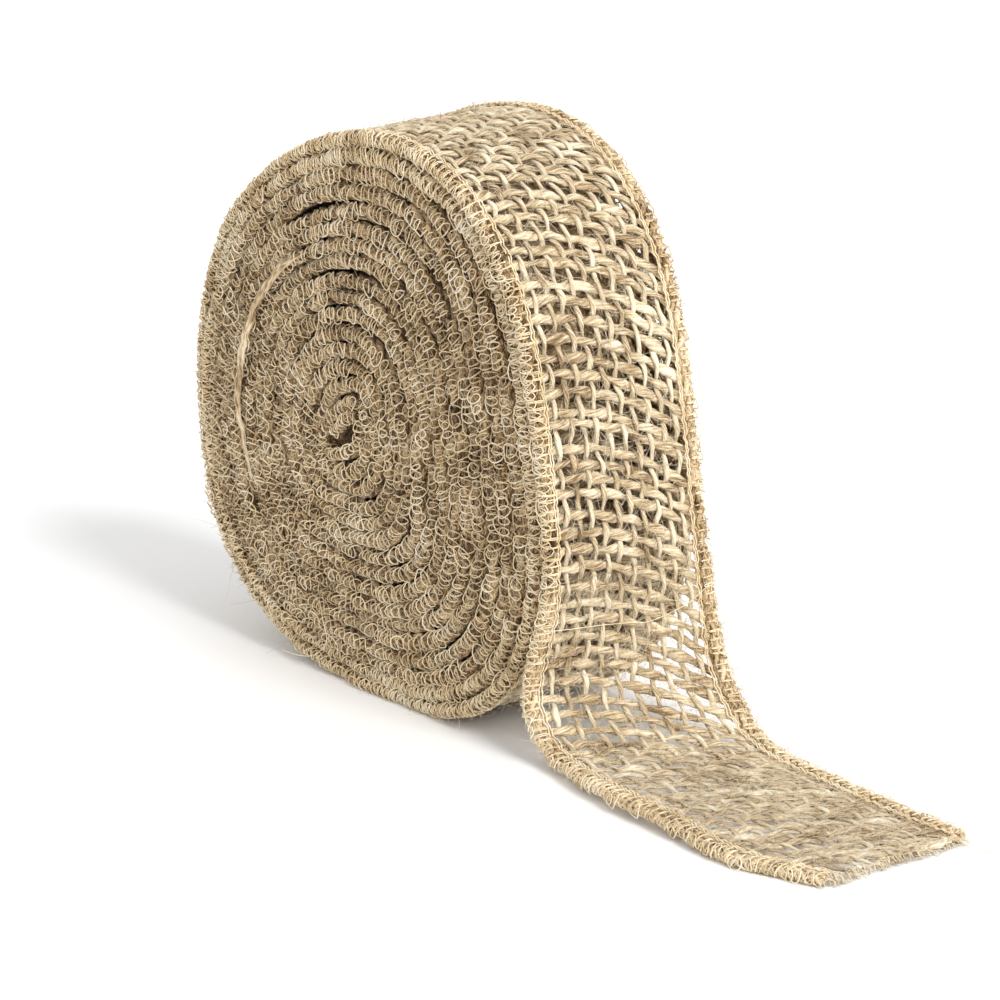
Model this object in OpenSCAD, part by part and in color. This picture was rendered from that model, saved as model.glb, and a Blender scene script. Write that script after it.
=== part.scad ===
// Roll of woven jute ribbon with overlocked selvedges, standing on its rim.
// +X is the way the loose tail runs, Y is the axis of the roll with the open
// spiral face at -Y, +Z is up. The origin is on the floor under the roll.

/* [Ribbon] */

// Width of the ribbon over both selvedges
ribbon_w = 50; // [40:1:60]

// Width of one overlocked selvedge
selvedge_w = 4.5; // [3:0.5:8]

// Thickness of the ribbon at the overlocked selvedge
selvedge_t = 3.4; // [2.6:0.1:3.4]

// Thickness of the plain weave between the selvedges
web_t = 2.2; // [1.6:0.1:2.4]

/* [Roll] */

// Mean radius of the outermost wrap
roll_r = 78.5; // [78:0.5:90]

// Number of wraps wound on the roll
wraps = 17.4; // [16:0.1:17.4]

// Wraps missing at the middle, where the ribbon folds on itself
core_wraps = 0.8; // [0.8:0.1:2]

// How far the middle of the roll has sagged sideways
core_shift = 8; // [0:0.5:8]

// Height of the three soft corners of the squashed outline
lobe_three = 3.75; // [0:0.25:3.75]

// Height of the four soft corners of the squashed outline
lobe_four = 2; // [0:0.25:2]

// How far the outline leans out of round, wider one way than the other
lobe_two = 1; // [0:0.25:1.5]

// Depth by which the lowest wrap is pressed flat on the floor
press_flat = 0.6; // [0.4:0.1:1.2]

/* [Tail] */

// Angle up from the lowest point at which the ribbon leaves the roll
peel_deg = 62; // [50:1:66]

// Radius of the last soft bend down to the floor
landing_r = 60; // [40:1:70]

// Length of tail that lies flat, from the landing bend to the tip bend
lay_len = 40; // [30:1:50]

// Length of the tip, from the tip bend to the last weft yarn
tip_len = 27; // [20:1:30]

// Number of cut warp yarns across the fringe
warp_count = 10; // [8:1:14]

// Length of the cut warp ends past the last weft yarn
fringe_len = 3.5; // [2:0.5:5]

// Gap kept around each bend of the tail
bend_gap = 0.4; // [0.3:0.05:0.6]

/* [Hidden] */

jute = [0.74, 0.64, 0.49];
jute_light = [0.80, 0.71, 0.57];
thread = [0.90, 0.84, 0.72];

turn_step = 10;             // degrees between points along the spiral
landing_deg = 25;           // slope at which the landing bend starts
nose = selvedge_t / 2;      // radius of the rounded end at a bend
web_low = nose - web_t;     // inner side of the weave, from the mid-line
web_w = ribbon_w - 2 * selvedge_w;

// Outline radius at angle t, measured from the lowest point towards +X.
function outline(t) = roll_r
    - lobe_two * cos(2 * t - 108)
    - lobe_three * cos(3 * t + 41)
    - lobe_four * cos(4 * t - 11);

// Mid-line of the ribbon on the roll after n wraps, around [0, 0].
function spiral(n) =
    let (t = peel_deg + 360 * (wraps - n), k = n / wraps)
    k * (outline(t) - nose) * [sin(t), -cos(t)]
    + (1 - k) * core_shift * [-1, -0.3];

function unit(v) = v / norm(v);
// The side that faces away from the roll's middle.
function spiral_out(n) =
    let (d = unit(spiral(n + 0.004) - spiral(n - 0.004)))
    [-d[1], d[0]];

// The strip stops short of the peel bend.
last_wrap = wraps - (nose + bend_gap) / (2 * PI * roll_r);
steps = floor((last_wrap - core_wraps) * 360 / turn_step);
turn_list = concat(
    [for (i = [0 : steps - 1]) core_wraps + i * turn_step / 360],
    [last_wrap]
);

function spiral_side(off) = [for (n = turn_list) spiral(n) + off * spiral_out(n)];
function backwards(p) = [for (i = [len(p) - 1 : -1 : 0]) p[i]];

low_z = min([for (p = spiral_side(nose)) p[1]]);
roll_z = -low_z - press_flat;   // height of the roll's middle

function on_floor(p) = [p[0], max(p[1] + roll_z, 0)];
function roll_outline(low, high) = [
    for (p = concat(spiral_side(high), backwards(spiral_side(low)))) on_floor(p)
];

// Peel bend: where the mid-line leaves the roll, and its heading there.
peel_x = spiral(wraps)[0];
peel_z = spiral(wraps)[1] + roll_z;
peel_dir = unit(spiral(wraps) - spiral(wraps - 0.01));
peel_head = atan2(peel_dir[1], peel_dir[0]);

// Drop: one bend from the peel to the landing slope, then a softer one.
drop_h = peel_z - nose - landing_r * (1 - cos(landing_deg));
drop_r = drop_h / (cos(landing_deg) - cos(peel_head));
knee_x = peel_x + drop_r * (sin(-landing_deg) - sin(peel_head));
knee_z = peel_z - drop_h;
land_x = knee_x + landing_r * sin(landing_deg);
tip_x = land_x + lay_len;
end_x = tip_x + tip_len;

// Mid-line point and heading on the drop, u from 0 at the peel to 2 at the floor.
function drop_head(u) = u < 1
    ? peel_head + u * (-landing_deg - peel_head)
    : -landing_deg * (2 - u);
function drop_pt(u) =
    let (h = drop_head(u))
    u < 1
    ? [peel_x + drop_r * (sin(h) - sin(peel_head)),
       peel_z - drop_r * (cos(h) - cos(peel_head))]
    : [knee_x + landing_r * (sin(h) + sin(landing_deg)),
       knee_z - landing_r * (cos(h) - cos(landing_deg))];
function drop_off(u, off) =
    let (h = drop_head(u)) drop_pt(u) + off * [-sin(h), cos(h)];

drop_stop = 2 - (nose + bend_gap) / (landing_r * landing_deg * PI / 180);
drop_list = concat([for (i = [0 : 15]) i / 8], [drop_stop]);

// Rounded start of a strip, on a circle round the bend, from the low side.
function round_end(c, head, low, high) = let (
        a = asin(low / nose),
        b = asin(high / nose)
    ) [
        for (i = [0 : 8])
        let (s = a + (b - a) * i / 8)
        c + nose * [-cos(s) * cos(head) - sin(s) * sin(head),
                    -cos(s) * sin(head) + sin(s) * cos(head)]
    ];

function drop_outline(low, high) = concat(
    round_end([peel_x, peel_z], peel_head, low, high),
    [for (u = drop_list) if (u > 0) drop_off(u, high)],
    backwards([for (u = drop_list) if (u > 0) drop_off(u, low)])
);

function flat_outline(x0, x1, low, high) = concat(
    round_end([x0, nose], 0, low, high),
    [[x1, nose + high], [x1, nose + low]]
);

// A flat outline in X and Z made into a strip between two values of Y.
module strip(points, y0, y1) {
    translate([0, y1, 0])
        rotate([90, 0, 0])
            linear_extrude(height = y1 - y0)
                polygon(points);
}

module web(low_points) {
    strip(low_points, -web_w / 2, web_w / 2);
}

module near_edge(points) {
    strip(points, -ribbon_w / 2, -web_w / 2);
}

module far_edge(points) {
    strip(points, web_w / 2, ribbon_w / 2);
}

// Woven jute wound on the roll.
module roll_web() {
    color(jute) web(roll_outline(web_low, nose));
}

// Overlocked edge of every wrap, on the open spiral face.
module roll_near_selvedge() {
    color(thread) near_edge(roll_outline(-nose, nose));
}

// Overlocked edge of every wrap, on the far face.
module roll_far_selvedge() {
    color(thread) far_edge(roll_outline(-nose, nose));
}

// Tail from the roll down to the floor.
module drop_web() {
    color(jute_light) web(drop_outline(web_low, nose));
}

module drop_near_selvedge() {
    color(thread) near_edge(drop_outline(-nose, nose));
}

module drop_far_selvedge() {
    color(thread) far_edge(drop_outline(-nose, nose));
}

// Tail lying on the floor.
lay_end = tip_x - nose - bend_gap;

module lay_web() {
    color(jute_light) web(flat_outline(land_x, lay_end, web_low, nose));
}

module lay_near_selvedge() {
    color(thread) near_edge(flat_outline(land_x, lay_end, -nose, nose));
}

module lay_far_selvedge() {
    color(thread) far_edge(flat_outline(land_x, lay_end, -nose, nose));
}

// Cut end of the tail.
module tip_web() {
    color(jute_light) web(flat_outline(tip_x, end_x, web_low, nose));
}

module tip_near_selvedge() {
    color(thread) near_edge(flat_outline(tip_x, end_x, -nose, nose));
}

module tip_far_selvedge() {
    color(thread) far_edge(flat_outline(tip_x, end_x, -nose, nose));
}

// Cut warp ends past the last weft yarn, joined at their roots.
module tip_fringe() {
    pitch = web_w / warp_count;
    color(jute)
        translate([end_x, 0, selvedge_t - web_t])
            union() {
                translate([0, -web_w / 2, 0])
                    cube([fringe_len / 3, web_w, web_t]);
                for (i = [0 : warp_count - 1])
                    translate([0, -web_w / 2 + (i + 0.25) * pitch, 0])
                        cube([fringe_len, pitch / 2, web_t]);
            }
}

roll_web();
roll_near_selvedge();
roll_far_selvedge();
drop_web();
drop_near_selvedge();
drop_far_selvedge();
lay_web();
lay_near_selvedge();
lay_far_selvedge();
tip_web();
tip_near_selvedge();
tip_far_selvedge();
tip_fringe();
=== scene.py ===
import math
import bpy
import numpy as np
from mathutils import Matrix, Vector


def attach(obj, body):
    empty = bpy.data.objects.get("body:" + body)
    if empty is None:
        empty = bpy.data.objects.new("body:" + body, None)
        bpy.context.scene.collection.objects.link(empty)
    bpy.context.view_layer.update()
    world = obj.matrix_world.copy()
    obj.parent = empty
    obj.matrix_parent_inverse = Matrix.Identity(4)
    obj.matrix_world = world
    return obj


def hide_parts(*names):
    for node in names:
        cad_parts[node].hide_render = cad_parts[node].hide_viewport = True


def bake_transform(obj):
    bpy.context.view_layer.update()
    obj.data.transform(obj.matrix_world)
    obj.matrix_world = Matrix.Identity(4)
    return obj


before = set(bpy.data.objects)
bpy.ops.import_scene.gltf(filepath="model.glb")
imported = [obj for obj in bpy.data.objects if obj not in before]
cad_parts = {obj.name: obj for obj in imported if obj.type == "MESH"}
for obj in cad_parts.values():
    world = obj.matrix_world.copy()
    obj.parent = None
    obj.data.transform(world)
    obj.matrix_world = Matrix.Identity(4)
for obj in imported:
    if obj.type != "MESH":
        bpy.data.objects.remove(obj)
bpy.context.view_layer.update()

# Roll of open jute ribbon with overlocked edges. Everything is worked out in millimetres and
# written in metres. s runs along the ribbon (0 where the tail leaves the roll, less than 0 on
# the roll), w runs across it from the open face to the far face, h stands off its middle.
mm = 0.001

camera = {
    "place": (863.1, -653.8, 385.0),
    "target": (23.4, 0.0, 52.8),
    "tilt": -0.0162,
    "lens": 157.2,
    "sensor": 36,
    "clip": (0.05, 20),
}


def placeCamera(spec):
    place = Vector(spec["place"])
    ahead = (Vector(spec["target"]) - place).normalized()
    right = ahead.cross(Vector((0, 0, 1))).normalized()
    up = right.cross(ahead)
    c, s = math.cos(spec["tilt"]), math.sin(spec["tilt"])
    right, up = c * right + s * up, -s * right + c * up
    data = bpy.data.cameras.new("camera")
    data.lens = spec["lens"]
    data.sensor_width = spec["sensor"]
    data.clip_start, data.clip_end = spec["clip"]
    obj = bpy.data.objects.new("camera", data)
    bpy.context.scene.collection.objects.link(obj)
    turn = Matrix((right, up, -ahead)).transposed().to_4x4()
    obj.matrix_world = Matrix.Translation(place * mm) @ turn
    bpy.context.scene.camera = obj


placeCamera(camera)
print("camera placed")

# The ribbon's path, the same spiral as the frame's
ribbon = {
    "width": 50.0,
    "edgeWidth": 4.5,
    "edgeThick": 3.4,
    "rollRadius": 78.5,
    "wraps": 17.4,
    "coreWraps": 0.8,
    "wrapStep": 0.0015,
    "coreShift": (-8.0, -2.4),
    # each lobe of the outline: number round the roll, shift in degrees, height
    "lobes": ((2, -108, 1.0), (3, 41, 3.75), (4, -11, 2.0)),
    "rollHeight": 70.336,
    "peelAngle": 62.0,
}
ribbonHalf = ribbon["width"] / 2
nose = ribbon["edgeThick"] / 2
webHalf = ribbonHalf - ribbon["edgeWidth"]
edgeMid = ribbonHalf - ribbon["edgeWidth"] / 2
wrapNumbers = np.arange(ribbon["coreWraps"], ribbon["wraps"] + 1e-6, ribbon["wrapStep"])

# How the wraps settled: sag of the inner wraps, loose gaps, and the slit at the middle
settling = {
    "sag": (-4.4, -1.0),
    # each gap: wrap number, size
    "gaps": ((6.6, 1.0), (9.3, 0.9), (13.2, 0.8), (15.7, 0.4)),
    "gapReach": 1.3, "gapEdge": 0.12,
    "slitTurn": 36.0, "slitLong": 1.45, "slitNarrow": 0.5,
    "slitWraps": 3.0, "slitShift": (-1.5, 0.4),
    "waver": 0.35, "waverWraps": 0.31,
    "calmFrom": 17.0, "calmOver": 1.5,
    # each sideways wander: size, length in wraps, seed
    "sideways": ((0.55, 0.83, 11), (0.42, 0.17, 12), (0.22, 0.04, 13)),
    "levelFrom": 0.12, "levelOver": 0.6,
    # the last wraps stand out or in: angle from the lowest point, spread, near edge, far edge
    "flares": ((148, 32, 0.0, 4.6), (238, 24, 2.0, 0.0), (280, 26, -1.2, 0.0)),
    "flareWraps": 4.0,
}

# Near and far edge of the tail, x, y, z of each, from the roll to the cut end
tailRows = np.array([
    (73.1, -25.0, 53.5, 73.9, 25.0, 54.5),
    (71.9, -25.0, 44.0, 75.7, 25.0, 45.5),
    (69.6, -25.0, 35.2, 77.4, 25.0, 37.2),
    (66.4, -25.0, 26.8, 79.4, 24.9, 29.0),
    (64.0, -25.0, 19.4, 82.3, 24.4, 22.0),
    (64.2, -25.2, 13.8, 86.1, 23.8, 16.4),
    (66.8, -25.6, 9.2, 90.2, 23.2, 11.9),
    (71.0, -26.0, 5.6, 94.6, 22.8, 7.8),
    (76.8, -26.6, 3.2, 99.4, 22.3, 4.9),
    (84.0, -28.0, 2.9, 105.2, 22.0, 3.1),
    (92.5, -29.7, 3.1, 111.5, 21.5, 2.1),
    (102.0, -31.1, 3.3, 118.5, 21.2, 1.8),
    (112.0, -31.8, 3.4, 126.0, 20.9, 1.7),
    (122.0, -31.9, 3.3, 134.0, 20.4, 1.7),
    (132.0, -32.7, 2.8, 142.0, 20.0, 1.7),
    (142.0, -33.3, 2.1, 150.0, 19.8, 1.7),
    (152.0, -32.8, 1.7, 158.3, 19.6, 1.7),
    (162.0, -29.6, 1.7, 166.8, 19.6, 1.7),
    (173.5, -26.2, 1.7, 174.6, 19.4, 1.7),
])
# s of the last places on the roll that the tail's curve runs through
tailJoin = (-46.0, -34.0)
tailStep = 0.25


def unit(v):
    return v / np.maximum(np.linalg.norm(v, axis=-1, keepdims=True), 1e-9)


def waver(x, length, seed, layers=3):
    # smooth wandering value, about -1 to 1, that repeats itself only by chance
    rng = np.random.default_rng(seed)
    total = np.zeros(np.shape(x))
    for k in range(layers):
        pace = (1 + 0.8 * k + 0.5 * rng.random()) / length
        total = total + np.sin(2 * np.pi * (pace * x + rng.random())) / (1 + 0.6 * k)
    return total / 1.6


def wander(spec, x, number=0):
    # spec is size, length and seed, and how far apart neighbours read the same curve
    size, length, seed, apart = spec
    return size * waver(x + apart * number, length, seed)


def runLength(points):
    # length along a row of points, 0 at the first
    steps = np.linalg.norm(np.diff(points, axis=0), axis=1)
    return np.concatenate([[0], np.cumsum(steps)])


def smoothRows(knots, rows, at):
    # cubic through every row, with slopes taken from its neighbours
    slope = np.gradient(rows, knots, axis=0)
    i = np.clip(np.searchsorted(knots, at, side="right") - 1, 0, len(knots) - 2)
    gap = (knots[i + 1] - knots[i])[:, None]
    u = (at[:, None] - knots[i][:, None]) / gap
    a, b = rows[i], rows[i + 1]
    ma, mb = slope[i] * gap, slope[i + 1] * gap
    return ((2 * u**3 - 3 * u**2 + 1) * a + (u**3 - 2 * u**2 + u) * ma
            + (-2 * u**3 + 3 * u**2) * b + (u**3 - u**2) * mb)


def outline(t):
    r = ribbon["rollRadius"]
    for count, shift, height in ribbon["lobes"]:
        r = r - height * np.cos(np.radians(count * t + shift))
    return r


def spiral(n):
    # middle of the ribbon on the roll after n wraps, X and Z round the roll's middle
    t = ribbon["peelAngle"] + 360 * (ribbon["wraps"] - n)
    k = n / ribbon["wraps"]
    a = np.radians(t)
    r = k * (outline(t) - nose)
    shiftX, shiftZ = ribbon["coreShift"]
    return r * np.sin(a) + (1 - k) * shiftX, -r * np.cos(a) + (1 - k) * shiftZ


def settled(n):
    x, z = spiral(n)
    k = n / ribbon["wraps"]
    sagX, sagZ = (sag * np.sin(np.pi * np.clip(k, 0, 1)) for sag in settling["sag"])
    cx = ribbon["coreShift"][0] * (1 - k) + sagX
    cz = ribbon["coreShift"][1] * (1 - k) + sagZ
    dx, dz = x + sagX - cx, z + sagZ - cz
    # squash the first wraps into a slit
    a = math.radians(settling["slitTurn"])
    near = np.clip(1 - (n - ribbon["coreWraps"]) / settling["slitWraps"], 0, 1) ** 1.5
    longer = (dx * math.cos(a) + dz * math.sin(a)) * (1 + (settling["slitLong"] - 1) * near)
    across = (-dx * math.sin(a) + dz * math.cos(a)) * (1 + (settling["slitNarrow"] - 1) * near)
    dx = longer * math.cos(a) - across * math.sin(a)
    dz = longer * math.sin(a) + across * math.cos(a)
    # loose gaps between some wraps
    push = np.zeros(np.shape(n))
    for at, size in settling["gaps"]:
        side = np.tanh((n - at) / settling["gapEdge"])
        push = push + size * side * np.exp(-np.abs(n - at) / settling["gapReach"])
    fade = np.clip((settling["calmFrom"] - n) / settling["calmOver"], 0, 1)
    push = push * fade + settling["waver"] * fade * waver(n, settling["waverWraps"], 5)
    r = np.maximum(np.hypot(dx, dz), 1e-6)
    cx = cx + settling["slitShift"][0] * near
    cz = cz + settling["slitShift"][1] * near
    return cx + dx * (1 + push / r), cz + dz * (1 + push / r)


def wrapPath():
    # middle of the ribbon at every wrap number, kept above the floor, and s there
    x, z = settled(wrapNumbers)
    z = np.maximum(z + ribbon["rollHeight"], nose)
    run = np.concatenate([[0], np.cumsum(np.hypot(np.diff(x), np.diff(z)))])
    return x, z, run - run[-1]


wrapX, wrapZ, wrapRuns = wrapPath()


def wrapS(n):
    # s at a wrap number
    return float(np.interp(n, wrapNumbers, wrapRuns))


def pathTable():
    n, s = wrapNumbers, wrapRuns
    zeros = np.zeros(len(n))
    side = np.tile([0.0, 1.0, 0.0], (len(n), 1))
    # wraps stand a little proud of each other along the roll's axis
    drift = sum(size * waver(n, length, seed) for size, length, seed in settling["sideways"])
    fade = np.clip((ribbon["wraps"] - settling["levelFrom"] - n) / settling["levelOver"], 0, 1)
    centre = np.stack([wrapX, drift * fade, wrapZ], 1)
    turn = (ribbon["peelAngle"] + 360 * (ribbon["wraps"] - n)) % 360
    outward = np.stack([np.sin(np.radians(turn)), zeros, -np.cos(np.radians(turn))], 1)
    share = np.clip(1 - (ribbon["wraps"] - n) / settling["flareWraps"], 0, 1) * fade**0.5
    for angle, spread, near, far in settling["flares"]:
        bump = np.exp(-((turn - angle) / spread) ** 2) * share
        centre = centre + outward * (bump * (near + far) / 2)[:, None]
        side = side + outward * (bump * (far - near) / ribbon["width"])[:, None]
    joinRows = []
    for at in tailJoin:
        p = np.array([np.interp(at, s, centre[:, k]) for k in range(3)])
        joinRows.append(np.concatenate([p - [0, ribbonHalf, 0], p + [0, ribbonHalf, 0]]))
    rows = np.vstack([joinRows, tailRows])
    knots = runLength((rows[:, :3] + rows[:, 3:]) / 2)
    both = smoothRows(knots, rows, np.arange(knots[1], knots[-1], tailStep))
    tailCentre = (both[:, :3] + both[:, 3:]) / 2
    tailSide = (both[:, 3:] - both[:, :3]) / ribbon["width"]
    onRoll = s < tailJoin[1]
    s = np.concatenate([s[onRoll], tailJoin[1] + runLength(tailCentre)])
    centre = np.vstack([centre[onRoll], tailCentre])
    side = np.vstack([side[onRoll], tailSide])
    along = unit(np.gradient(centre, s, axis=0))
    return s, centre, side, along, unit(np.cross(along, side))


pathS, pathMid, pathSide, pathAlong, pathOut = pathTable()
pathStart, pathEnd = pathS[0], pathS[-1]


def look(table, s):
    return np.stack([np.interp(s, pathS, table[:, k]) for k in range(3)], -1)


def onRibbon(s, w, h):
    # points on the ribbon, and its along, across and outward directions there
    past = np.maximum(s - pathEnd, 0)[..., None]
    along, side, out = look(pathAlong, s), look(pathSide, s), look(pathOut, s)
    p = look(pathMid, s) + np.asarray(w)[..., None] * side + np.asarray(h)[..., None] * out + past * along
    return p, along, unit(side), out


def arcOf(w):
    # length along the ribbon's edge at w, for even stitches
    run = runLength(pathMid + w * pathSide)
    return run - np.interp(0.0, pathS, run)


# Half the room that an edge has towards its neighbours: limits, ends, and on the tail
room = {
    "least": 1.45, "most": 2.5,
    "outmost": 1.9, "inmost": 1.6,
    "tail": 1.7, "fadeFrom": -14.0, "fadeOver": 20.0,
}


def wrapRoom():
    # towards the next wrap out and the next wrap in
    n = wrapNumbers
    x, z = settled(n)
    xOut, zOut = settled(n + 1)
    xIn, zIn = settled(np.maximum(n - 1, ribbon["coreWraps"]))
    outer = np.hypot(xOut - x, zOut - z) / 2
    inner = np.hypot(xIn - x, zIn - z) / 2
    outer = np.where(n > ribbon["wraps"] - 1, room["outmost"], outer)
    inner = np.where(n < ribbon["coreWraps"] + 1, room["inmost"], inner)
    fade = np.clip((room["fadeFrom"] - pathS) / room["fadeOver"], 0, 1)
    both = []
    for reach in (outer, inner):
        reach = np.interp(pathS, wrapRuns, np.clip(reach, room["least"], room["most"]))
        both.append(room["tail"] + (reach - room["tail"]) * fade)
    return both


roomOut, roomIn = wrapRoom()


def edgeRoom(s):
    # middle and half of the room at s
    outer, inner = np.interp(s, pathS, roomOut), np.interp(s, pathS, roomIn)
    return (outer - inner) / 2, (outer + inner) / 2


print("path: roll", round(-pathStart), "mm, tail", round(pathEnd), "mm")

# Meshes are gathered in batches of tubes and written in one go
tube = {"apart": 37.0, "lumpiest": 2.2, "lumpSpread": 0.6}
floorGap = 0.02
pieces = {}


def newBatch():
    return {"points": [], "faces": [], "lay": [], "tint": [], "count": 0}


def addFaces(batch, points, faces, lay, tint):
    batch["points"].append(points.reshape(-1, 3))
    batch["faces"] += [f + batch["count"] for f in faces]
    batch["lay"].append(lay.reshape(-1, 3))
    batch["tint"].append(tint.reshape(-1))
    batch["count"] += len(points.reshape(-1, 3))


def addTubes(batch, mid, across, up, wide, thick, tint, sides=8, turn=0.0, lumps=0.0):
    # mid is (tubes, rings, 3); across x up has to point along the tube
    tubes, rings = mid.shape[:2]
    wide = np.broadcast_to(wide, (tubes, rings))
    thick = np.broadcast_to(thick, (tubes, rings))
    tint = np.broadcast_to(tint, (tubes, rings))
    a = 2 * np.pi * np.arange(sides) / sides
    uneven = np.random.default_rng(tubes * 1000 + rings).standard_normal((tubes, rings, sides))
    uneven = uneven + tube["lumpSpread"] * np.roll(uneven, 1, axis=1)
    uneven = 1 + lumps * np.clip(uneven, -tube["lumpiest"], tube["lumpiest"])
    ring = (mid[:, :, None]
            + (wide[..., None] * np.cos(a) * uneven)[..., None] * across[:, :, None]
            + (thick[..., None] * np.sin(a) * uneven)[..., None] * up[:, :, None])
    run = np.linalg.norm(np.diff(mid, axis=1), axis=2)
    run = np.concatenate([np.zeros((tubes, 1)), np.cumsum(run, axis=1)], axis=1)
    # each tube reads its own stretch of the fibre pattern
    run = run + tube["apart"] * np.arange(tubes)[:, None]
    b = a + turn * run[..., None]
    lay = np.stack([np.broadcast_to(run[..., None], b.shape), np.cos(b), np.sin(b)], -1)
    index = np.arange(tubes * rings * sides).reshape(tubes, rings, sides)
    after = np.roll(index, -1, axis=2)
    quads = np.stack([index[:, :-1], after[:, :-1], after[:, 1:], index[:, 1:]], -1).reshape(-1, 4)
    caps = np.concatenate([index[:, 0, ::-1], index[:, -1]])
    addFaces(batch, ring, [quads, caps], lay, np.repeat(tint[..., None], sides, 2))


def acrossFrame(mid, away):
    # two directions square to a tube whose outward side is away
    along = unit(np.gradient(mid, axis=1))
    up = unit(away - (away * along).sum(-1, keepdims=True) * along)
    return np.cross(up, along), up


def writePiece(name, batch, material):
    # one mesh of a batch, kept off the floor by a hair's breadth
    points = np.concatenate(batch["points"])
    points[:, 2] = np.maximum(points[:, 2], floorGap)
    mesh = bpy.data.meshes.new(name)
    mesh.vertices.add(len(points))
    mesh.vertices.foreach_set("co", (points * mm).astype(np.float32).ravel())
    loops = np.concatenate([f.ravel() for f in batch["faces"]]).astype(np.int32)
    sizes = np.concatenate([np.full(len(f), f.shape[1]) for f in batch["faces"]])
    starts = np.concatenate([[0], np.cumsum(sizes)[:-1]]).astype(np.int32)
    mesh.loops.add(len(loops))
    mesh.loops.foreach_set("vertex_index", loops)
    mesh.polygons.add(len(starts))
    mesh.polygons.foreach_set("loop_start", starts)
    mesh.update(calc_edges=True)
    mesh.polygons.foreach_set("use_smooth", np.ones(len(starts), bool))
    lay = mesh.attributes.new("lay", "FLOAT_VECTOR", "POINT")
    lay.data.foreach_set("vector", np.concatenate(batch["lay"]).astype(np.float32).ravel())
    tint = mesh.attributes.new("tint", "FLOAT", "POINT")
    tint.data.foreach_set("value", np.concatenate(batch["tint"]).astype(np.float32))
    mesh.materials.append(material)
    obj = bpy.data.objects.new(name, mesh)
    bpy.context.scene.collection.objects.link(obj)
    pieces[name] = obj
    print("  ", name, len(points), "points,", len(starts), "faces")


# Shader effects that more than one material uses
def newGroup(name, inputs, outputs):
    group = bpy.data.node_groups.new(name, "ShaderNodeTree")
    for label, kind, value in inputs:
        socket = group.interface.new_socket(label, in_out="INPUT", socket_type=kind)
        if value is not None:
            socket.default_value = value
    for label, kind in outputs:
        group.interface.new_socket(label, in_out="OUTPUT", socket_type=kind)
    start = group.nodes.new("NodeGroupInput")
    end = group.nodes.new("NodeGroupOutput")
    return group, start, end


def addNode(tree, kind, **values):
    node = tree.nodes.new(kind)
    for key, value in values.items():
        if hasattr(node, key):
            setattr(node, key, value)
        else:
            node.inputs[key].default_value = value
    return node


def sums(tree, operation, a, b):
    node = addNode(tree, "ShaderNodeMath", operation=operation)
    for socket, value in zip(node.inputs, (a, b)):
        if isinstance(value, (int, float)):
            socket.default_value = value
        else:
            tree.links.new(value, socket)
    return node.outputs[0]


fibre = {
    "fineScale": 1.6, "fineDetail": 4.0, "fineRough": 0.62,
    "broadScale": 95.0, "broadDetail": 2.0, "broadRough": 0.5,
    "streak": 2.9, "patch": 1.1,
    "bumpDepth": 0.0003, "sheenRough": 0.5, "specular": 0.25,
}


def fibreGroup():
    # streaks of fibre that run along a yarn and twist round it, with slubs and stains
    tree, start, end = newGroup(
        "fibreStreaks",
        [("Lay", "NodeSocketVector", None), ("Tint", "NodeSocketFloat", 0.5),
         ("Fineness", "NodeSocketFloat", 2.4), ("Stretch", "NodeSocketFloat", 0.16)],
        [("Tone", "NodeSocketFloat"), ("Height", "NodeSocketFloat")])
    link = tree.links.new
    parts = addNode(tree, "ShaderNodeSeparateXYZ")
    link(start.outputs["Lay"], parts.inputs[0])
    joined = addNode(tree, "ShaderNodeCombineXYZ")
    link(sums(tree, "MULTIPLY", parts.outputs[0], start.outputs["Stretch"]), joined.inputs[0])
    link(sums(tree, "MULTIPLY", parts.outputs[1], start.outputs["Fineness"]), joined.inputs[1])
    link(sums(tree, "MULTIPLY", parts.outputs[2], start.outputs["Fineness"]), joined.inputs[2])
    fine = addNode(tree, "ShaderNodeTexNoise", Scale=fibre["fineScale"],
                   Detail=fibre["fineDetail"], Roughness=fibre["fineRough"])
    link(joined.outputs[0], fine.inputs["Vector"])
    place = addNode(tree, "ShaderNodeTexCoord")
    broad = addNode(tree, "ShaderNodeTexNoise", Scale=fibre["broadScale"],
                    Detail=fibre["broadDetail"], Roughness=fibre["broadRough"])
    link(place.outputs["Object"], broad.inputs["Vector"])
    # tone = fine streaks + broad patches + the yarn's own tint
    streak = sums(tree, "SUBTRACT", fine.outputs["Fac"], 0.5)
    streak = sums(tree, "MULTIPLY", streak, fibre["streak"])
    patch = sums(tree, "SUBTRACT", broad.outputs["Fac"], 0.5)
    patch = sums(tree, "MULTIPLY", patch, fibre["patch"])
    tone = sums(tree, "ADD", sums(tree, "ADD", streak, patch), start.outputs["Tint"])
    link(tone, end.inputs["Tone"])
    link(fine.outputs["Fac"], end.inputs["Height"])
    return tree


fibreStreaks = fibreGroup()

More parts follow.
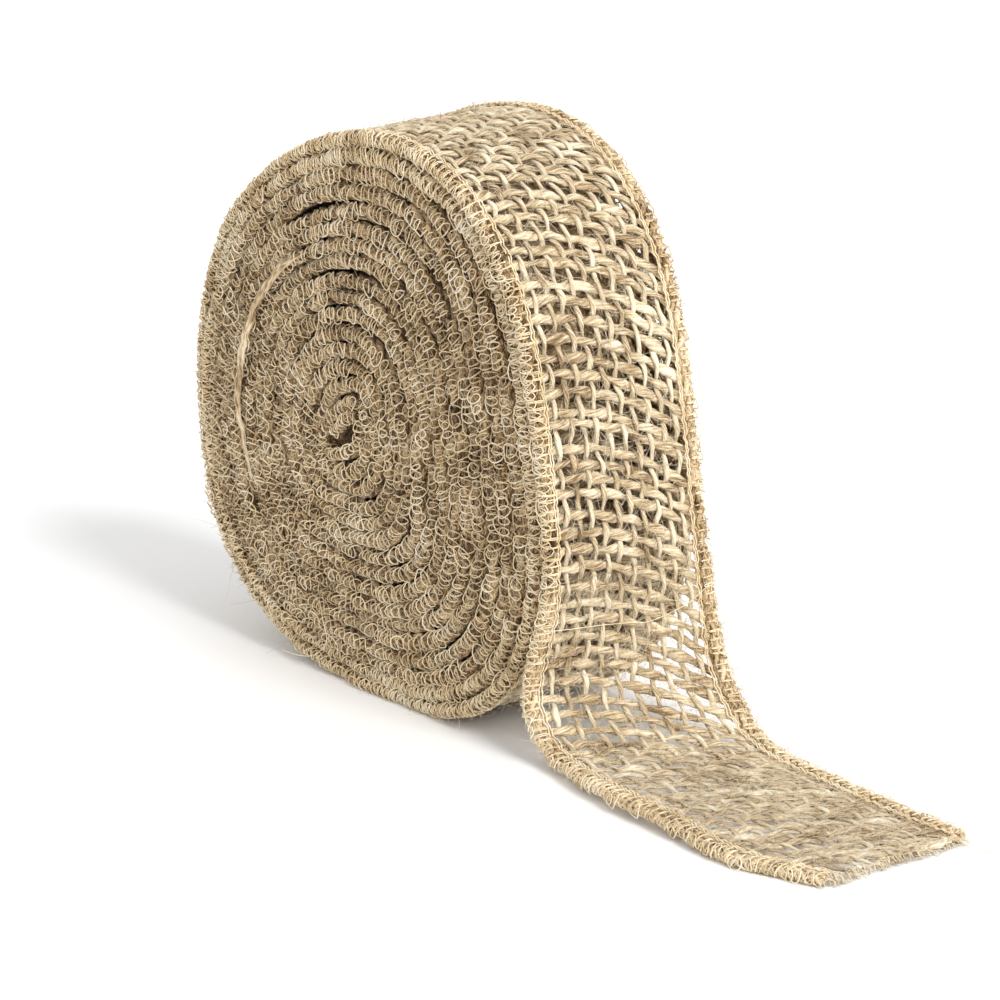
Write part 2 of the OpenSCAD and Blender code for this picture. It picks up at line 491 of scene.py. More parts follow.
finishes = {
    "weft": {"stops": ((0.0, (0.20, 0.12, 0.05)), (0.35, (0.50, 0.37, 0.21)),
                       (0.70, (0.76, 0.635, 0.43)), (1.0, (0.91, 0.82, 0.64))),
             "fineness": 1.3, "stretch": 0.13, "bump": 0.8, "rough": 0.85, "sheen": 0.25},
    # the near-black low end is painted shade in the crevices of the roll's face
    "edge": {"stops": ((0.0, (0.05, 0.024, 0.008)), (0.35, (0.29, 0.18, 0.078)),
                       (0.70, (0.60, 0.44, 0.25)), (1.0, (0.84, 0.70, 0.48))),
             "fineness": 1.1, "stretch": 0.16, "bump": 0.8, "rough": 0.88, "sheen": 0.2},
    "thread": {"stops": ((0.0, (0.46, 0.305, 0.135)), (0.40, (0.85, 0.65, 0.37)),
                         (0.75, (0.97, 0.83, 0.58)), (1.0, (0.99, 0.94, 0.79))),
               "fineness": 1.0, "stretch": 0.5, "bump": 0.35, "rough": 0.6, "sheen": 0.3},
    "fluff": {"stops": ((0.0, (0.42, 0.31, 0.17)), (0.40, (0.66, 0.53, 0.34)),
                        (0.75, (0.84, 0.73, 0.53)), (1.0, (0.93, 0.85, 0.68))),
              "fineness": 1.0, "stretch": 0.1, "bump": 0.1, "rough": 0.7, "sheen": 0.3},
    # the wraps under the outer one, seen through its holes: darker, browner jute, painted shade
    "shadedDeep": {"stops": ((0.0, (0.18, 0.105, 0.042)), (0.40, (0.41, 0.28, 0.14)),
                       (0.75, (0.62, 0.465, 0.265)), (1.0, (0.76, 0.63, 0.42))),
             "fineness": 1.0, "stretch": 0.6, "bump": 0.6, "rough": 0.9, "sheen": 0.1},
}


def fibreMaterial(name, spec):
    material = bpy.data.materials.new(name)
    material.use_nodes = True
    tree = material.node_tree
    link = tree.links.new
    shader = tree.nodes["Principled BSDF"]
    lay = addNode(tree, "ShaderNodeAttribute", attribute_name="lay")
    tint = addNode(tree, "ShaderNodeAttribute", attribute_name="tint")
    streaks = addNode(tree, "ShaderNodeGroup", node_tree=fibreStreaks)
    streaks.inputs["Fineness"].default_value = spec["fineness"]
    streaks.inputs["Stretch"].default_value = spec["stretch"]
    link(lay.outputs["Vector"], streaks.inputs["Lay"])
    link(tint.outputs["Fac"], streaks.inputs["Tint"])
    ramp = addNode(tree, "ShaderNodeValToRGB")
    stops = ramp.color_ramp.elements
    while len(stops) < len(spec["stops"]):
        stops.new(0.5)
    for stop, (at, colour) in zip(stops, spec["stops"]):
        stop.position = at
        stop.color = (*colour, 1)
    link(streaks.outputs["Tone"], ramp.inputs["Fac"])
    link(ramp.outputs["Color"], shader.inputs["Base Color"])
    bump = addNode(tree, "ShaderNodeBump", Strength=spec["bump"], Distance=fibre["bumpDepth"])
    link(streaks.outputs["Height"], bump.inputs["Height"])
    link(bump.outputs["Normal"], shader.inputs["Normal"])
    shader.inputs["Roughness"].default_value = spec["rough"]
    shader.inputs["Sheen Weight"].default_value = spec["sheen"]
    shader.inputs["Sheen Roughness"].default_value = fibre["sheenRough"]
    shader.inputs["Specular IOR Level"].default_value = fibre["specular"]
    return material


weftJute = fibreMaterial("weftJute", finishes["weft"])
# the edge jute carries painted shade in its dark low end
edgeJuteShaded = fibreMaterial("edgeJuteShaded", finishes["edge"])
creamThread = fibreMaterial("creamThread", finishes["thread"])
# jute with painted shade, for the hidden wraps and the fuzz among them
shadedDeepJute = fibreMaterial("shadedDeepJute", finishes["shadedDeep"])
fluff = fibreMaterial("fluff", finishes["fluff"])
print("materials made")
# Plain weave: warps run along the ribbon, wefts across it, pulled askew.
# Drifts, slubs and stains: size, length, seed, and how far apart neighbours read them
weave = {
    "warps": 10,
    "weftPitch": 4.4, "weftSpread": 0.16,
    "skew": 0.4, "skewCurve": 0.009,
    "warpWide": 0.66, "warpThick": 0.50, "warpWave": 0.60, "warpFlat": 0.12,
    "weftWide": 1.12, "weftThick": 0.50, "weftWave": 0.46, "weftFlat": 0.25,
    "lift": 0.35,
    "lumps": 0.075,
    "warpTwist": 0.5, "weftTwist": 0.34,
    "warpTint": 0.58, "weftTint": 0.46, "tintSpread": 0.09,
    "warpDrifts": ((0.42, 37.0, 21, 311.0), (0.22, 13.0, 22, 97.0)),
    "warpSlub": (0.24, 19.0, 23, 53.0),
    "warpStain": (0.10, 31.0, 24, 71.0),
    "weftDrift": (0.35, 23.0, 31, 41.0),
    "weftSlub": (0.36, 17.0, 32, 29.0),
    "weftCut": (0.8, 9.0, 33, 7.0),
    "weftStain": (0.10, 21.0, 34, 61.0),
    "underEdge": 1.6,
    "layers": 2.15,
    "pressed": 0.42, "pressedFrom": 34, "pressedOver": 18,
    "stepsPerWeft": 5, "sides": 8,
}
warpPitch = 2 * webHalf / weave["warps"]
weaveRng = np.random.default_rng(71)
firstWeft = int((wrapS(ribbon["wraps"] - weave["layers"]) - 40) / weave["weftPitch"])
weftNumbers = np.arange(firstWeft, int(pathEnd / weave["weftPitch"]) + 8)
weftSpread = weave["weftSpread"] * weaveRng.standard_normal(len(weftNumbers))
weftPlaces = (weftNumbers + weftSpread) * weave["weftPitch"]
weftTints = weave["weftTint"] + weave["tintSpread"] * weaveRng.standard_normal(len(weftNumbers))
warpTints = weave["warpTint"] + weave["tintSpread"] * weaveRng.standard_normal(weave["warps"])


def flatness(s):
    # 1 on the roll, less where the tail has been pressed flat
    return 1 - weave["pressed"] * np.clip((s - weave["pressedFrom"]) / weave["pressedOver"], 0, 1)


def skewAt(w):
    return weave["skew"] * w + weave["skewCurve"] * w * w


def warpShift(s, j):
    return sum(wander(spec, s, j) for spec in weave["warpDrifts"])


def addWarps(batch, sFrom, sTo, darker):
    step = weave["weftPitch"] / weave["stepsPerWeft"]
    s = np.linspace(sFrom, sTo, int(round((sTo - sFrom) / step)) + 1)
    s, j = np.meshgrid(s, np.arange(weave["warps"]))
    w = (j + 0.5) * warpPitch - webHalf + warpShift(s, j)
    number = np.interp(s - skewAt(w), weftPlaces, weftNumbers)
    wave = np.cos(np.pi * (number + j))
    press = flatness(s)
    h = press * (weave["lift"] + weave["warpWave"] * wave)
    mid, along, side, away = onRibbon(s, w, h)
    across, up = acrossFrame(mid, away)
    fat = 1 + wander(weave["warpSlub"], s, j)
    wide = weave["warpWide"] * fat
    thick = weave["warpThick"] * fat * (1 + weave["warpFlat"] * wave) * press**0.5
    tint = warpTints[j] + wander(weave["warpStain"], s, j) - darker
    addTubes(batch, mid, across, up, wide, thick, tint,
             weave["sides"], weave["warpTwist"], weave["lumps"])


def addWefts(batch, sFrom, sTo, darker):
    picked = (weftPlaces >= sFrom) & (weftPlaces < sTo)
    reach = webHalf + weave["underEdge"]
    w = np.linspace(-reach, reach, weave["stepsPerWeft"] * weave["warps"] + 4)
    w, number = np.meshgrid(w, weftNumbers[picked])
    place = np.repeat(weftPlaces[picked][:, None], w.shape[1], 1)
    tint = np.repeat(weftTints[picked][:, None], w.shape[1], 1)
    s = place + skewAt(w) + wander(weave["weftDrift"], w, number)
    s = np.minimum(s, pathEnd + wander(weave["weftCut"], w, number))
    j = (w + webHalf) / warpPitch - 0.5
    j = j - warpShift(s, np.round(j)) / warpPitch
    press = flatness(s)
    h = press * (weave["lift"] - weave["weftWave"] * np.cos(np.pi * (number + j)))
    h = h * (1 - np.clip((np.abs(w) - webHalf) / weave["underEdge"], 0, 1))
    mid, along, side, away = onRibbon(s, w, h)
    across, up = acrossFrame(mid, away)
    fat = 1 + wander(weave["weftSlub"], w, number)
    wide = weave["weftWide"] * fat * (1 + weave["weftFlat"] * (1 - press))
    thick = weave["weftThick"] * fat * press**0.5
    tint = tint + wander(weave["weftStain"], w, number) - darker
    onCloth = place[:, 0] + skewAt(0.0) < pathEnd
    addTubes(batch, mid[onCloth], across[onCloth], up[onCloth], wide[onCloth], thick[onCloth],
             tint[onCloth], weave["sides"], weave["weftTwist"], weave["lumps"])


def weavePiece(name, sFrom, sTo, material, darker=0.0):
    batch = newBatch()
    addWarps(batch, sFrom, sTo, darker)
    addWefts(batch, sFrom, sTo, darker)
    writePiece(name, batch, material)


# Closed strip with a woven relief, for wraps that are mostly hidden
strip = {
    "step": 3.0, "columns": 12, "beyond": 1.0,
    "low": -0.7, "high": 1.1, "relief": 0.35, "reliefLong": 5,
    "tint": 0.42, "stain": (0.1, 40.0, 41, 0.0),
    "first": 0.95, "overlap": 2,
}


def stripPiece(name, sFrom, sTo, material):
    s = np.arange(sFrom, sTo, strip["step"])
    edge = webHalf + strip["beyond"]
    s, w = np.meshgrid(s, np.linspace(-edge, edge, strip["columns"]), indexing="ij")
    relief = strip["relief"] * np.cos(np.pi * s / strip["reliefLong"]) * np.cos(np.pi * w / warpPitch)
    top = onRibbon(s, w, strip["high"] + relief)[0]
    base = onRibbon(s, w, strip["low"] - relief)[0]
    rows = np.concatenate([top, base[:, ::-1]], axis=1)
    index = np.arange(rows.shape[0] * rows.shape[1]).reshape(rows.shape[:2])
    after = np.roll(index, -1, axis=1)
    quads = np.stack([index[:-1], index[1:], after[1:], after[:-1]], -1).reshape(-1, 4)
    caps = np.stack([index[0], index[-1, ::-1]])
    w = np.concatenate([w, w[:, ::-1]], axis=1)
    s = np.concatenate([s, s], axis=1)
    batch = newBatch()
    tint = strip["tint"] + wander(strip["stain"], s)
    addFaces(batch, rows, [quads, caps], np.stack([s, w, 0 * w], -1), tint)
    writePiece(name, batch, material)


# Bundle of yarns inside each overlocked edge, four loosely twisted strands
bundle = {
    "strands": 4,
    "outward": 0.1,
    "orbitWide": 1.15, "orbitThick": 0.56,
    "strandWide": 0.82, "strandThick": 0.44,
    "twist": 2 * math.pi / 17.0,
    "turnDrift": (0.5, 23.0, 50, 0.0),
    "wideDrift": (0.25, 9.0, 51, 91.0),
    "thickDrift": (0.07, 7.0, 52, 67.0),
    "slub": (0.2, 6.0, 53, 17.0),
    "stain": (0.2, 19.0, 54, 9.0),
    "step": 1.6, "sides": 6, "fibreTwist": 0.7, "lumps": 0.11,
    # the near face's bundles keep the low tint, in the ramp's dark end: painted shade in the face's
    # crevices; farPaler and tailPaler lift the far rim and the tail
    "tint": 0.34, "farPaler": 0.3, "tailPaler": 0.26,
}


def addBundle(batch, rim, sFrom, sTo, paler):
    count = max(int((sTo - sFrom) / bundle["step"]) + 1, 3)
    s, j = np.meshgrid(np.linspace(sFrom, sTo, count), np.arange(bundle["strands"]))
    a = bundle["twist"] * s + 2 * np.pi * j / bundle["strands"] + wander(bundle["turnDrift"], s)
    middle, half = edgeRoom(s)
    w = rim["way"] * (edgeMid + bundle["outward"]) + bundle["orbitWide"] * np.cos(a)
    w = w + wander(bundle["wideDrift"], s, j)
    h = middle + half * (bundle["orbitThick"] * np.sin(a) + wander(bundle["thickDrift"], s, j))
    mid, along, side, away = onRibbon(s, w, h)
    across, up = acrossFrame(mid, away)
    fat = 1 + wander(bundle["slub"], s, j)
    tint = bundle["tint"] + paler + wander(bundle["stain"], s, j)
    addTubes(batch, mid, across, up, bundle["strandWide"] * fat, half * bundle["strandThick"] * fat,
             tint, bundle["sides"], bundle["fibreTwist"], bundle["lumps"])


# Flat yarn that shows where the stitches slipped off one of the inner wraps
bareStrand = {
    "from": -2618.0, "to": -2536.0, "step": 0.8,
    "w": -26.1, "tuck": 1.3,
    "wide": 1.45, "thick": 0.5, "tint": 0.66,
    "wideDrift": (0.12, 9.0, 43, 0.0),
    "rise": (0.2, 31.0, 44, 0.0),
    "slub": (0.12, 14.0, 45, 0.0),
    "sides": 10, "fibreTwist": 0.1, "lumps": 0.03,
}


def addBareStrand(batch):
    s = np.arange(bareStrand["from"], bareStrand["to"], bareStrand["step"])[None]
    u = (s - s[0, 0]) / (s[0, -1] - s[0, 0])
    swell = np.sin(np.pi * u) ** 0.35
    w = bareStrand["w"] + bareStrand["tuck"] * (1 - swell) + wander(bareStrand["wideDrift"], s)
    mid, along, side, away = onRibbon(s, w, wander(bareStrand["rise"], s))
    across, up = acrossFrame(mid, -side)
    wide = bareStrand["wide"] * swell * (1 + wander(bareStrand["slub"], s))
    addTubes(batch, mid, across, up, wide, bareStrand["thick"] * swell, bareStrand["tint"] + 0 * s,
             bareStrand["sides"], bareStrand["fibreTwist"], bareStrand["lumps"])


# Overlock: a chain of rings along the rim everywhere, and on the outer wraps and the tail also
# zigzags that cross the edge from its stitch line, over the ribbon and under it
overlock = {
    "pitch": 2.3, "thread": 0.17, "fibreTwist": 2.0,
    "placeSpread": 0.4, "wildest": 2.2,
    "tint": 0.5, "tintSpread": 0.14,
    "nearSteps": 12, "farSteps": 10, "rollSides": 4,
    "tailSteps": 14, "tailSides": 5,
}
chances = ("full", "place", "reach", "stand", "side", "slant", "swell")
ring = {
    "long": 1.6, "tall": 0.88, "dip": 1.5,
    "w": 25.3, "bow": 0.3, "inward": 0.6,
    "swellSpread": 0.16, "slantSpread": 0.45, "fullSpread": 0.25, "tallSpread": 0.14,
    "liftSpread": 0.35, "dipSpread": 0.5, "sideSpread": 0.34,
}
zigzag = {
    "from": 118.0,
    "swing": {"over": 46.0, "under": 30.0}, "swingSpread": 0.45,
    "full": 0.55, "fullSpread": 0.35,
    "wide": 2.35, "thick": 0.95,
    "standSpread": 0.05, "standMore": 0.06, "wideSpread": 0.06, "sideSpread": 0.15,
}


def ringPath(rim, run, phase, own):
    swell = 1 + ring["swellSpread"] * own["swell"]
    slant = ring["slantSpread"] * own["slant"] * np.cos(phase)
    run = run + ring["long"] * (swell + ring["fullSpread"] * own["full"]) * np.sin(phase) + slant
    s = np.interp(run, rim["arcs"], pathS)
    middle, half = edgeRoom(s)
    tall = ring["tall"] * (swell + ring["tallSpread"] * own["reach"])
    h = middle - half * tall * np.cos(phase) + ring["liftSpread"] * own["slant"]
    dip = ring["dip"] * np.abs(np.cos(phase)) ** 3 * (1 + ring["dipSpread"] * own["stand"])
    w = rim["way"] * (ring["w"] + ring["sideSpread"] * own["side"] + ring["bow"] * np.sin(phase) - dip)
    mid, along, side, away = onRibbon(s, w, h)
    return mid, rim["way"] * side - ring["inward"] * np.cos(phase)[..., None] * away


def zigzagPath(rim, style, run, phase, own):
    rise = (1 - np.cos(phase)) / 2
    run = run - zigzag["full"] * (1 + zigzag["fullSpread"] * own["full"]) * np.sin(phase)
    if style == "under":
        run = run + overlock["pitch"] / 2
    s = np.interp(run, rim["arcs"], pathS)
    swing = zigzag["from"] + zigzag["swing"][style] * (1 + zigzag["swingSpread"] * own["reach"])
    a = np.radians(zigzag["from"] - swing * rise)
    if style == "under":
        a = -a
    stand = 1 + zigzag["standSpread"] * own["stand"] + zigzag["standMore"] * rise
    middle, half = edgeRoom(s)
    wide = zigzag["wide"] * (stand + zigzag["wideSpread"] * own["slant"])
    w = rim["way"] * (edgeMid + wide * np.cos(a) + zigzag["sideSpread"] * own["side"])
    h = middle + half * zigzag["thick"] * stand * np.sin(a)
    mid, along, side, away = onRibbon(s, w, h)
    return mid, rim["way"] * np.cos(a)[..., None] * side + np.sin(a)[..., None] * away


def addLooper(batch, rim, sFrom, sTo, style, seed, steps, sides):
    # stitches are counted along the rim's own length, so they stay even round the bends
    first = math.ceil(np.interp(sFrom, pathS, rim["arcs"]) / overlock["pitch"])
    last = math.floor(np.interp(sTo, pathS, rim["arcs"]) / overlock["pitch"])
    stitch = np.arange(first, last + 1e-6, 1.0 / steps)
    whole = np.arange(first - 1, last + 3)
    jitter = np.random.default_rng(seed).standard_normal((len(chances), len(whole)))
    jitter = np.clip(jitter, -overlock["wildest"], overlock["wildest"])
    own = {chance: np.interp(stitch, whole, row) for chance, row in zip(chances, jitter)}
    phase = 2 * np.pi * (stitch - np.floor(stitch))
    run = stitch * overlock["pitch"] + overlock["placeSpread"] * own["place"]
    if style == "rings":
        mid, away = ringPath(rim, run, phase, own)
    else:
        mid, away = zigzagPath(rim, style, run, phase, own)
    across, up = acrossFrame(mid[None], away[None])
    tint = overlock["tint"] + overlock["tintSpread"] * own["side"]
    addTubes(batch, mid[None], across, up, overlock["thread"], overlock["thread"], tint[None],
             sides, overlock["fibreTwist"])


# Two straight rows of stitches beside each edge, and how far in from the rim they run
needle = {
    "seeds": (65, 66),
    "inward": {"rollNear": (2.6, 3.3), "rollFar": (4.4, 5.0), "tailNear": (3.4, 4.1), "tailFar": (4.4, 5.0)},
    "fromWrap": 16.3,
    "thread": 0.2, "tint": 0.55, "step": 0.35, "sides": 5,
    "sway": 0.16, "drift": (0.15, 11.0), "sink": 0.12, "beat": 0.2,
}


def addNeedleLines(batch, rim, sFrom, sTo, where):
    for seed, inward in zip(needle["seeds"], needle["inward"][where + rim["name"]]):
        first, last = np.interp((sFrom, sTo), pathS, rim["arcs"])
        run = np.arange(first, last, needle["step"])
        s = np.interp(run, rim["arcs"], pathS)
        beat = 2 * np.pi * run / overlock["pitch"]
        size, length = needle["drift"]
        w = ribbonHalf - inward + needle["sway"] * np.sin(beat / 2) + size * waver(run, length, seed)
        h = np.interp(s, pathS, roomOut) - needle["sink"] + needle["beat"] * np.cos(beat)
        mid, along, side, away = onRibbon(s, rim["way"] * w, h)
        across, up = acrossFrame(mid[None], away[None])
        tint = np.full((1, len(s)), needle["tint"])
        addTubes(batch, mid[None], across, up, needle["thread"], needle["thread"], tint,
                 needle["sides"], overlock["fibreTwist"])


# Where the pieces begin and end: roll groups as wrap numbers, tail parts as s
rollGroups = (("Core", 0.8, 8.0), ("Middle", 8.0, 12.2), ("Outer", 12.2, 15.4), ("Rim", 15.4, 17.4))
outerWraps = 1.1
landX, tipX = 92.0, 138.0
peelS = -14.0


def sAtX(x):
    tail = pathS > 20
    return float(np.interp(x, pathMid[tail, 0], pathS[tail]))


landS, tipS = sAtX(landX), sAtX(tipX)
tailParts = (("drop", peelS, landS), ("lay", landS, tipS), ("tip", tipS, pathEnd))
outerStart = wrapS(ribbon["wraps"] - outerWraps)
secondStart = wrapS(ribbon["wraps"] - weave["layers"])
innerStart = wrapS(strip["first"])

print("weave")
weavePiece("rollWeaveOuter", outerStart, peelS, weftJute)
# the second layer, seen through the outer weave's holes, in the jute with painted shade
weavePiece("rollWeaveSecond", secondStart, outerStart, shadedDeepJute, -0.04)
for part, sFrom, sTo in tailParts:
    weavePiece(part + "Weave", sFrom, sTo, weftJute)
# the inner wraps in the jute with painted shade
stripPiece("rollWeaveInner", innerStart, secondStart + strip["overlap"], shadedDeepJute)

print("edges")
rims = (
    {"name": "Near", "way": -1, "arcs": arcOf(-ribbonHalf)},
    {"name": "Far", "way": 1, "arcs": arcOf(ribbonHalf)},
)


def rollEdge(rim, group, nFrom, nTo):
    onNear = rim["name"] == "Near"
    sFrom = wrapS(nFrom)
    sTo = peelS if nTo == ribbon["wraps"] else wrapS(nTo)
    batch = newBatch()
    addBundle(batch, rim, sFrom, sTo, 0.0 if onNear else bundle["farPaler"])
    if onNear and group == "Middle":
        addBareStrand(batch)
    writePiece("roll" + rim["name"] + "Bundle" + group, batch, edgeJuteShaded)
    batch = newBatch()
    steps = overlock["nearSteps" if onNear else "farSteps"]
    addLooper(batch, rim, sFrom, sTo, "rings", 60 + int(nFrom), steps, overlock["rollSides"])
    if group == "Rim":
        for style, seed in (("over", 70), ("under", 80)):
            addLooper(batch, rim, sFrom, sTo, style, seed, steps, overlock["rollSides"])
        addNeedleLines(batch, rim, wrapS(needle["fromWrap"]), sTo, "roll")
    writePiece("roll" + rim["name"] + "Thread" + group, batch, creamThread)


def tailEdge(rim, part, sFrom, sTo):
    batch = newBatch()
    addBundle(batch, rim, sFrom, sTo, bundle["tailPaler"])
    writePiece(part + rim["name"] + "Bundle", batch, edgeJuteShaded)
    batch = newBatch()
    for style, seed in (("rings", 100), ("over", 110), ("under", 120)):
        addLooper(batch, rim, sFrom, sTo, style, seed + int(sFrom),
                  overlock["tailSteps"], overlock["tailSides"])
    addNeedleLines(batch, rim, sFrom, sTo, "tail")
    writePiece(part + rim["name"] + "Thread", batch, creamThread)


for rim in rims:
    for group, nFrom, nTo in rollGroups:
        rollEdge(rim, group, nFrom, nTo)
    for part, sFrom, sTo in tailParts:
        tailEdge(rim, part, sFrom, sTo)

# Cut warp ends past the last weft
fringe = {
    "ends": 110, "rings": 7, "sides": 6, "fibreTwist": 1.0,
    "span": 48, "tuck": 0.8,
    "shortest": 1.6, "lengthSpread": 2.6,
    "splay": 1.6, "curl": 0.5, "sag": 0.9, "lift": 0.6, "low": 0.2, "bounce": 0.4,
    "thin": 0.14, "thickSpread": 0.16, "taper": 0.6, "flat": 1.5,
    "tint": 0.68,
}


def fringePiece(name):
    rng = np.random.default_rng(90)
    shape = (fringe["ends"], 1)
    u = np.linspace(0, 1, fringe["rings"])[None]
    w = np.repeat(fringe["span"] * rng.random(shape) - fringe["span"] / 2, fringe["rings"], 1)
    length = fringe["shortest"] + fringe["lengthSpread"] * rng.random(shape) ** 1.5
    s = pathEnd - fringe["tuck"] + length * u
    curl = fringe["curl"] * np.sin(5 * u + 6 * rng.random(shape))
    w = w + (fringe["splay"] * u**1.4 + curl) * rng.standard_normal(shape)
    h = fringe["lift"] * rng.random(shape) - fringe["low"] - fringe["sag"] * u
    h = h + fringe["bounce"] * np.sin(7 * u + 6 * rng.random(shape))
    mid, along, side, away = onRibbon(s, w, h)
    across, up = acrossFrame(mid, away)
    thick = (1 - fringe["taper"] * u) * (fringe["thin"] + fringe["thickSpread"] * rng.random(shape))
    batch = newBatch()
    addTubes(batch, mid, across, up, fringe["flat"] * thick, thick, fringe["tint"] + 0 * s,
             fringe["sides"], fringe["fibreTwist"])
    writePiece(name, batch, weftJute)


print("fringe")
fringePiece("tipFringe")

# Loose jute fibres that stand off the yarns; leans are the mean and spread of the direction
# that fibres point in, along, across and outward
fuzz = {
    "thick": 0.075, "taper": 0.6,
    "rings": 5, "sides": 3,
    "curl": 0.9,
    "length": 3.0, "lengthSpread": 0.5, "longest": 11.0,
    "tint": 0.45, "tintSpread": 0.25,
    "widest": 35.6, "lowest": 0.15,
    "bandPerMm": 13.5, "deepPerMm": 12.0, "facePerMm": 1.7, "backPerMm": 0.9,
    "tailPerMm": 26.0, "tailEdgePerMm": 3.0,
    "bandWidth": 49.0, "bandLow": 0.8, "bandHigh": 0.45, "deepLow": -1.7, "deepDarker": -0.05,
    "bandLean": ((0.0, 0.0, 0.06), (1.0, 1.0, 0.13)),
    "edgeFrom": 24.8, "edgeOver": 0.5, "edgeTall": 2.4, "edgeShare": 0.5,
    "edgeLean": ((0.0, 0.3, 0.0), (0.9, 0.35, 0.9)),
}


def addHairs(batch, rng, s, w, h, lean, length, darker=0.0):
    root, along, side, away = onRibbon(s, w, h)
    spread = rng.standard_normal((len(s), 3)) * np.array(lean[1]) + np.array(lean[0])
    way = unit(spread[:, :1] * along + spread[:, 1:2] * side + np.abs(spread[:, 2:]) * away)
    curl = unit(rng.standard_normal((len(s), 3)))
    u = np.linspace(0, 1, fuzz["rings"])[None, :, None]
    length = np.asarray(length)[:, None, None]
    bend = curl[:, None] * length * fuzz["curl"] * (u - 0.5) * u
    mid = root[:, None] + way[:, None] * length * u + bend
    mid[..., 1] = np.clip(mid[..., 1], -fuzz["widest"], fuzz["widest"])
    mid[..., 2] = np.maximum(mid[..., 2], fuzz["lowest"])
    across, up = acrossFrame(mid, np.broadcast_to(curl[:, None] + 0.01, mid.shape))
    thick = fuzz["thick"] * (1 - fuzz["taper"] * u[..., 0])
    tint = (fuzz["tint"] - darker + fuzz["tintSpread"] * rng.random(len(s)))[:, None]
    addTubes(batch, mid, across, up, thick, thick, tint, fuzz["sides"])


def hairLengths(rng, count):
    lengths = fuzz["length"] * np.exp(fuzz["lengthSpread"] * rng.standard_normal(count))
    return np.minimum(lengths, fuzz["longest"])


def bandHairs(batch, sFrom, sTo, perMm, seed, low, darker=0.0):
    rng = np.random.default_rng(seed)
    count = int((sTo - sFrom) * perMm)
    s = sFrom + (sTo - sFrom) * rng.random(count)
    w = (rng.random(count) - 0.5) * fuzz["bandWidth"]
    h = low + fuzz["bandHigh"] * rng.random(count)
    addHairs(batch, rng, s, w, h, fuzz["bandLean"], hairLengths(rng, count), darker)


def edgeHairs(batch, sFrom, sTo, way, perMm, seed):
    rng = np.random.default_rng(seed)
    count = int((sTo - sFrom) * perMm)
    s = sFrom + (sTo - sFrom) * rng.random(count)
    mean, spread = fuzz["edgeLean"]
    lean = ((mean[0], mean[1] * way, mean[2]), spread)
    w = way * (fuzz["edgeFrom"] + fuzz["edgeOver"] * rng.random(count))
    h = (rng.random(count) - 0.5) * fuzz["edgeTall"]
    addHairs(batch, rng, s, w, h, lean, fuzz["edgeShare"] * hairLengths(rng, count))


print("fuzz")
batch = newBatch()
bandHairs(batch, outerStart, peelS, fuzz["bandPerMm"], 201, fuzz["bandLow"])
writePiece("rollFuzz", batch, fluff)
# fuzz down among the second layer, in the jute with painted shade
batch = newBatch()
bandHairs(batch, outerStart, peelS, fuzz["deepPerMm"], 202, fuzz["deepLow"], fuzz["deepDarker"])
writePiece("rollDeepFuzz", batch, shadedDeepJute)
for name, way, perMm, seed in (("rollNearFuzz", -1, fuzz["facePerMm"], 211),
                               ("rollFarFuzz", 1, fuzz["backPerMm"], 212)):
    batch = newBatch()
    edgeHairs(batch, pathStart + 5, peelS, way, perMm, seed)
    writePiece(name, batch, fluff)
for part, sFrom, sTo in tailParts:
    batch = newBatch()
    bandHairs(batch, sFrom, sTo, fuzz["tailPerMm"], 220 + len(part), fuzz["bandLow"])
    edgeHairs(batch, sFrom, sTo, -1, fuzz["tailEdgePerMm"], 230 + len(part))
    edgeHairs(batch, sFrom, sTo, 1, fuzz["tailEdgePerMm"], 240 + len(part))
    writePiece(part + "Fuzz", batch, fluff)

# Threads that came loose, as places that each runs through in order: s, w, h on the ribbon,
# and x, y, z for those on the open face
strays = {
    "rollStray": (
        ((-3, -24, 1.6), (-2, -17, 1.7), (-1, -8, 1.5), (0, 0, 1.7), (1, 6, 1.5), (-1, 15, 1.8),
         (-3, 20, 1.6), (-5, 23, 1.9)),
        ((-64, 25.4, 0.4), (-58, 26.6, 0.9), (-50, 27.0, 1.0), (-44, 26.4, 0.6), (-39, 25.4, 0.3)),
        ((-205, 25.0, 0.5), (-209, 26.0, 2.8), (-213, 25.6, 4.6), (-216, 25.0, 3.8)),
        ((-206, 24.6, 0.9), (-210, 25.4, 3.6), (-215, 25.9, 3.0), (-219, 25.2, 1.2)),
        ((-208, 25.4, 0.2), (-212, 25.2, 3.2), (-217, 24.6, 4.2), (-221, 25.0, 2.4)),
    ),
    "dropStray": (
        ((8, -26, 1.2), (6, -24, 2.0), (4, -22, 1.6), (5, -19.5, 1.3)),
    ),
    "tipStray": (
        ((119, 19, 0.9), (123, 20.5, 0.4), (127, 22.5, -0.9), (131, 23.0, -1.3), (134, 21.4, -1.3)),
        ((120, -12, 0.5), (124, -13.5, -0.2), (127.5, -13, -1.2)),
    ),
    "faceStray": (
        ((-21.4, -25.6, 20.1), (-18.2, -26.9, 15.4), (-16.6, -27.1, 10.3), (-21.0, -27.2, 5.6),
         (-28.1, -26.9, 3.1), (-38.2, -26.2, 1.8)),
        ((-19.8, -26.0, 11.2), (-15.4, -27.4, 12.6), (-12.0, -27.0, 10.4), (-13.2, -26.2, 7.2)),
    ),
}
strayThread = {"thick": 0.11, "stepsPerPlace": 8, "lowest": 0.3, "tint": 0.7, "sides": 5}
faceAway = (0.0, -1.0, 0.1)

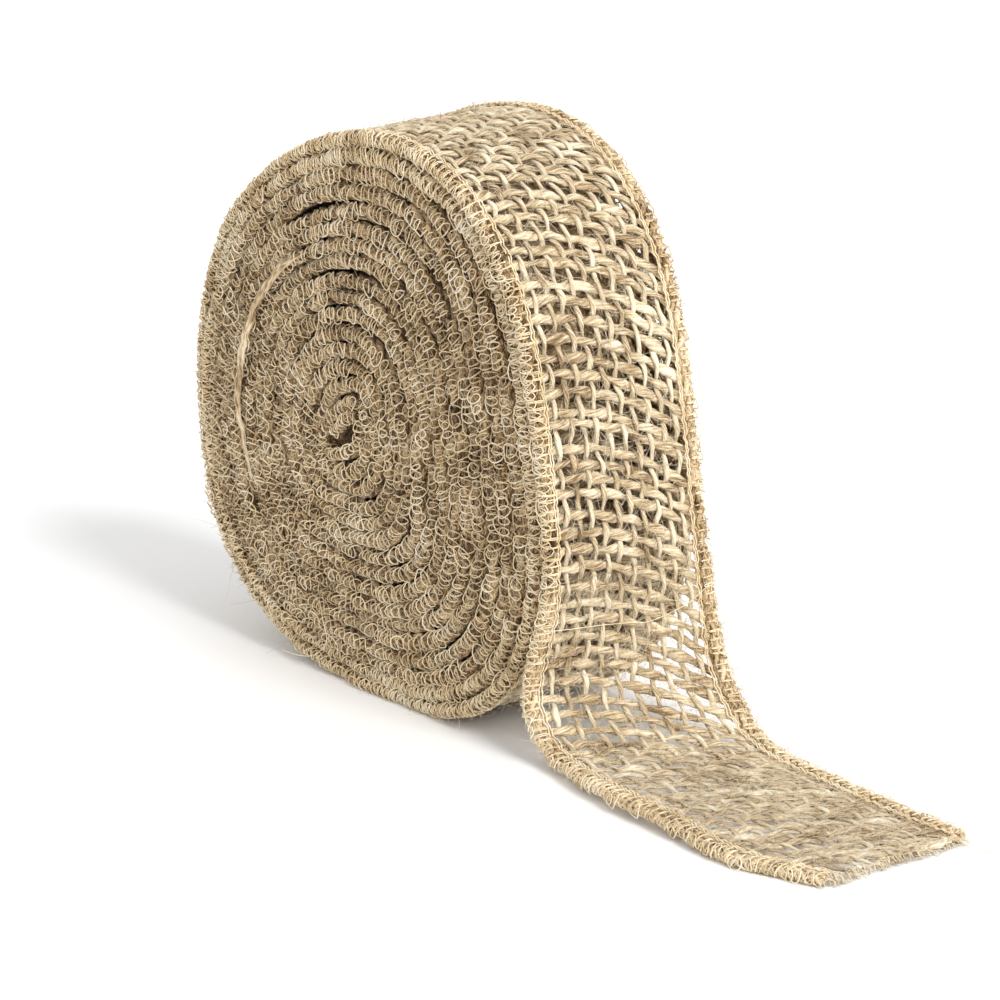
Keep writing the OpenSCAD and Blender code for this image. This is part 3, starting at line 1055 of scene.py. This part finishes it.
print("strays")
for name, threads in strays.items():
    batch = newBatch()
    for knots in threads:
        knots = np.array(knots, float)
        at = np.linspace(0, len(knots) - 1 - 1e-6, strayThread["stepsPerPlace"] * len(knots))
        fine = smoothRows(np.arange(len(knots), dtype=float), knots, at)
        if name == "faceStray":
            mid, away = fine, np.tile(faceAway, (len(fine), 1))
        else:
            mid, along, side, away = onRibbon(fine[:, 0], fine[:, 1], fine[:, 2])
        mid[:, 2] = np.maximum(mid[:, 2], strayThread["lowest"])
        across, up = acrossFrame(mid[None], away[None])
        tint = np.full((1, len(mid)), strayThread["tint"])
        addTubes(batch, mid[None], across, up, strayThread["thick"], strayThread["thick"], tint,
                 strayThread["sides"], overlock["fibreTwist"])
    writePiece(name, batch, creamThread)

# Floor, and light
floorSpec = {"size": 12.0, "colour": (0.96, 0.96, 0.96), "rough": 0.9, "specular": 0.1}
reach = floorSpec["size"] / 2
corners = [(-reach, -reach, 0), (reach, -reach, 0), (reach, reach, 0), (-reach, reach, 0)]
floorMesh = bpy.data.meshes.new("floor")
floorMesh.from_pydata(corners, [], [(0, 1, 2, 3)])
floor = bpy.data.objects.new("floor", floorMesh)
bpy.context.scene.collection.objects.link(floor)
paper = bpy.data.materials.new("palePaper")
paper.use_nodes = True
paperInputs = paper.node_tree.nodes["Principled BSDF"].inputs
paperInputs["Base Color"].default_value = (*floorSpec["colour"], 1)
paperInputs["Roughness"].default_value = floorSpec["rough"]
paperInputs["Specular IOR Level"].default_value = floorSpec["specular"]
floorMesh.materials.append(paper)

lights = {
    "sky": 0.86,
    "sun": {"from": (1.0, 0.01, 0.77), "strength": 2.3, "spread": 0.40},
}
world = bpy.data.worlds.new("studio")
bpy.context.scene.world = world
world.use_nodes = True
skyInputs = world.node_tree.nodes["Background"].inputs
skyInputs["Color"].default_value = (1, 1, 1, 1)
skyInputs["Strength"].default_value = lights["sky"]
lamp = bpy.data.lights.new("sun", "SUN")
lamp.energy = lights["sun"]["strength"]
lamp.angle = lights["sun"]["spread"]
lampObj = bpy.data.objects.new("sun", lamp)
bpy.context.scene.collection.objects.link(lampObj)
lampObj.rotation_euler = (-Vector(lights["sun"]["from"])).to_track_quat("-Z", "Y").to_euler()
bpy.context.scene.view_settings.view_transform = "Standard"

# Tail parts, with the body before each, and where its bend starts and ends; only the names are read: roll
# pieces go on the roll's body, the tail's stay where they are
bends = {
    "drop": ("roll", (0.070, 0, 0.040), (0.070, 0, 0.022)),
    "lay": ("drop", (0.100, 0, 0), (0.116, 0, 0)),
    "tip": ("lay", (0.141, 0, 0), (0.155, 0, 0)),
}
for name, obj in pieces.items():
    part = next((part for part in bends if name.startswith(part)), "roll")
    if part == "roll":
        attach(obj, "roll")
    else:
        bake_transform(obj)

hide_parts("roll_web")
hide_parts("roll_near_selvedge")
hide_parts("roll_far_selvedge")
for part in bends:
    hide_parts(part + "_web")
    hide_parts(part + "_near_selvedge")
    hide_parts(part + "_far_selvedge")
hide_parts("tip_fringe")
